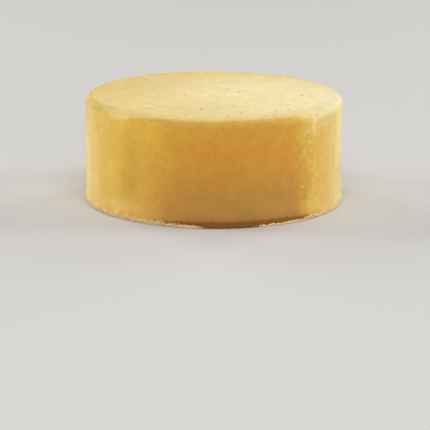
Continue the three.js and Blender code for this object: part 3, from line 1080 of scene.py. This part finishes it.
CrumbKind = namedtuple("CrumbKind", "name ball count least most rise density tone spread")
CRUMB_KINDS = (
    CrumbKind("grains_top", GRAIN_BALL, 14000, 0.25 * MM, 0.6 * MM, 0.1, on_top, 0.0, 0.2),
    CrumbKind("grains_wall", GRAIN_BALL, 16000, 0.25 * MM, 0.6 * MM, 0.1, on_wall, 0.0, 0.2),
    CrumbKind("crumbs_top", SMALL_BALL, 4000, 0.4 * MM, 1.3 * MM, -0.1, on_top, 0.05, 0.3),
    CrumbKind("crumbs_wall", SMALL_BALL, 5000, 0.4 * MM, 1.2 * MM, -0.1, on_wall, 0.05, 0.3),
    CrumbKind("crumbs_edge", SMALL_BALL, 1500, 0.35 * MM, 0.8 * MM, 0.1, on_edge, 0.0, 0.3),
    CrumbKind("crumbs_streak", LARGE_BALL, 60, 1.2 * MM, 3.6 * MM, -0.55, streak_share, 0.3, 0.25),
)


def draw_sites(coat, count, density):
    """Places drawn by chance over the coat, with its normal and the number of its point there."""
    corners = coat.points[coat.faces]
    area = np.linalg.norm(face_normals(corners), axis=1)
    weight = area * density(corners.mean(1), coat.smooth[coat.faces].mean(1)[:, 2])
    chosen = draw.choice(len(coat.faces), count, p=weight / weight.sum())
    first, second = draw.uniform(size=(2, count, 1))
    beyond = first + second > 1
    first, second = np.where(beyond, 1 - first, first), np.where(beyond, 1 - second, second)
    a, b, c = corners[chosen].swapaxes(0, 1)
    number = coat.faces[chosen, 0]
    return a + first * (b - a) + second * (c - a), coat.normal[number], number


def draw_sizes(count, least, most):
    """Sizes between two limits, mostly small."""
    return least + (most - least) * draw.uniform(size=count) ** 2


def streak_zones(zones):
    """Colours of the lumps in the rough streak: a little of the top's colour with its painted cream light,
    less of the deep honey and its painted shade.
    """
    zones = less_deep_and_shade(zones, STREAK_DEEP)
    zones["top"] = np.full_like(zones["top"], STREAK_TOP)
    zones["cream_painted_light"] = np.ones_like(zones["cream_painted_light"])
    return zones


def add_fine_crumbs(coat, look):
    for kind in CRUMB_KINDS:
        place, normal, number = draw_sites(coat, kind.count, kind.density)
        zones = zones_at(coat, number)
        if kind.density is streak_share:
            zones = streak_zones(zones)
        sizes = draw_sizes(kind.count, kind.least, kind.most)
        tones = np.clip(draw.normal(kind.tone, kind.spread, kind.count), *TONE_SPAN)
        add_crumbs(kind.name, kind.ball, place, normal, sizes, zones, tones, look, kind.rise)


# Fringe of crumbs that lie against the foot
def fringe_sites(sizes):
    """Places and outward directions of the fringe's crumbs, heaped against the rounded foot."""
    angle = draw.uniform(-math.pi, math.pi, FRINGE_SPARE * len(sizes))
    angle = angle[draw.uniform(size=len(angle)) < fringe_share(angle)][:len(sizes)]
    heap = 1 + noisy(in_space(CAKE_RADIUS, 0, angle), FRINGE_HEAP)
    beside = fade_in(np.abs(lobe_offset(angle, FRINGE_LOW_ANGLE)), *FRINGE_FULL_START)
    stack = FRINGE_STACK * heap * (FRINGE_LOW + (1 - FRINGE_LOW) * beside)
    height = sizes / 2 + stack * draw.uniform(size=len(sizes)) ** FRINGE_STACK_POWER
    rounding = foot_radius(angle)
    below = np.minimum(height, rounding)
    surface = base_radius(angle) + np.sqrt(below * (2 * rounding - below))
    outermost = np.maximum(surface, CAKE_RADIUS + wall_offset(angle, rounding) + FRINGE_REACH - sizes / 2)
    radius = surface + FRINGE_SUNK * sizes + draw.uniform(size=len(sizes)) * (outermost - surface)
    return in_space(radius, height, angle), in_space(1.0, 0.0, angle)


def add_fringe(look):
    sizes = draw_sizes(FRINGE_COUNT, *FRINGE_SIZES)
    place, normal = fringe_sites(sizes)
    tones = draw.normal(FRINGE_TONE, FRINGE_TONE_SPREAD, FRINGE_COUNT)
    add_crumbs("crumbs_foot", SMALL_BALL, place, normal, sizes, {}, tones, look)


# Crumbs that stand out
def seen_points(coat, wall_places, top_places):
    """Numbers of the coat's points at the places of crumbs that stand out."""
    wall = [in_space(CAKE_RADIUS, height * MM, angle * DEGREE) for angle, height in wall_places]
    top = [np.array([x * MM, y * MM, CAKE_HEIGHT]) for x, y in top_places]
    return nearest_points(coat, wall + top)


def add_light_crumbs(coat, look):
    spots = seen_points(coat, SEEN_LIGHT_WALL, SEEN_LIGHT_TOP)
    zones = less_deep_and_shade(zones_at(coat, spots), LIGHT_DEEP)
    zones["top"] = np.maximum(zones["top"], LIGHT_TOP)
    sizes = draw.uniform(*LIGHT_SIZES, len(spots))
    tones = draw.uniform(*LIGHT_TONES, len(spots))
    add_crumbs("crumbs_light", LARGE_BALL, coat.points[spots], coat.smooth[spots], sizes,
               zones, tones, look, LIGHT_RISE)


def add_dark_crumbs(coat, look):
    """Specks that stand out, larger and paler on the top, then a scatter of small ones."""
    spots = seen_points(coat, SEEN_DARK_WALL, SEEN_DARK_TOP)
    normals = [coat.smooth[spots]]
    on_flat = normals[0][:, 2] > TOP_SLOPE
    sizes = [np.where(on_flat, DARK_TOP_GROWTH, 1) * draw.uniform(*DARK_SIZES, len(spots))]
    lift = np.where(on_flat, DARK_TOP_LIFT, 0) * sizes[0]
    places = [coat.points[spots] + lift[:, None] * normals[0]]
    top_tones = draw.uniform(*DARK_TOP_TONES, len(spots))
    tones = [np.where(on_flat, top_tones, draw.uniform(*DARK_TONES, len(spots)))]
    for density, count in ((anywhere, SCATTER_COUNT), (above_fringe, LOW_SPECK_COUNT)):
        more_places, more_normals, _ = draw_sites(coat, count, density)
        places.append(more_places)
        normals.append(more_normals)
        sizes.append(draw_sizes(count, *SCATTER_SIZES))
        tones.append(draw.uniform(*SCATTER_TONES, count))
    places, normals, sizes, tones = map(np.concatenate, (places, normals, sizes, tones))
    add_crumbs("crumbs_dark", SMALL_BALL, places, normals, sizes, {}, tones, look, DARK_RISE)


# Floor, light and camera
def add_floor():
    bpy.ops.mesh.primitive_plane_add(size=FLOOR_SIZE)
    floor = bpy.context.object
    floor.name = "floor"
    floor.data.materials.append(new_material("floor", FLOOR_SHADER)[0])
    floor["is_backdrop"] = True


def add_softbox(name, place, size, power):
    light = bpy.data.lights.new(name, "AREA")
    light.shape = "RECTANGLE"
    light.size, light.size_y = size
    light.energy = power
    lamp = bpy.data.objects.new(name, light)
    bpy.context.scene.collection.objects.link(lamp)
    lamp.location = place
    lamp.rotation_mode = "QUATERNION"
    lamp.rotation_quaternion = (CAKE_MIDDLE - Vector(place)).to_track_quat("-Z", "Y")
    lamp.visible_camera = False


def add_studio():
    """Soft lights round the cake, and a faint even light from everywhere."""
    for name, (place, size, power) in SOFTBOXES.items():
        add_softbox("softbox_" + name, place, size, power)
    world = bpy.data.worlds.new("studio")
    bpy.context.scene.world = world
    world.use_nodes = True
    background = world.node_tree.nodes["Background"]
    background.inputs["Color"].default_value = WORLD_COLOUR
    background.inputs["Strength"].default_value = WORLD_STRENGTH
    bpy.context.scene.view_settings.view_transform = "Standard"


def camera_target(above):
    """The place that the middle of the picture shows."""
    metres_per_pixel = CAMERA_DISTANCE / FOCAL_PIXELS
    right, down = PICTURE_SIZE / 2 - MIDDLE_PIXEL_X, PICTURE_SIZE / 2 - MIDDLE_PIXEL_Y
    right_step = (right * math.cos(CAMERA_ROLL) + down * math.sin(CAMERA_ROLL)) * metres_per_pixel
    down_step = (down * math.cos(CAMERA_ROLL) - right * math.sin(CAMERA_ROLL)) * metres_per_pixel
    return CAKE_MIDDLE + Vector((right_step, 0, 0)) - down_step * above


def add_camera():
    data = bpy.data.cameras.new("camera")
    data.sensor_width = SENSOR_WIDTH
    data.lens = SENSOR_WIDTH * FOCAL_PIXELS / PICTURE_SIZE
    data.clip_start, data.clip_end = CAMERA_NEAR, CAMERA_FAR
    camera = bpy.data.objects.new("camera", data)
    bpy.context.scene.collection.objects.link(camera)
    back = Vector((0, -math.cos(CAMERA_ELEVATION), math.sin(CAMERA_ELEVATION)))
    above = Vector((0, math.sin(CAMERA_ELEVATION), math.cos(CAMERA_ELEVATION)))
    camera.location = CAKE_MIDDLE + CAMERA_DISTANCE * back
    level = (camera_target(above) - camera.location).to_track_quat("-Z", "Y")
    camera.rotation_mode = "QUATERNION"
    camera.rotation_quaternion = level @ Quaternion((0, 0, 1), CAMERA_ROLL)
    bpy.context.scene.camera = camera


# The cake and its studio
coat = add_coat()
crumb_look = food_material("crumbs", crumb_colour, CRUMB_PITS)
fringe_look = food_material("foot_crumbs", fringe_colour, CRUMB_PITS)
speck_look = food_material("dark_crumbs", speck_colour)
add_fused_crumbs(coat, crumb_look, fringe_look)
add_fine_crumbs(coat, crumb_look)
add_fringe(fringe_look)
add_light_crumbs(coat, crumb_look)
add_dark_crumbs(coat, speck_look)
add_floor()
add_studio()
add_camera()

# Size of the solid and of the looks, for comparison
boxes = {"cad": CAD_BOX, "visual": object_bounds()}
{name: [list(corner) for corner in corners] for name, corners in boxes.items()}
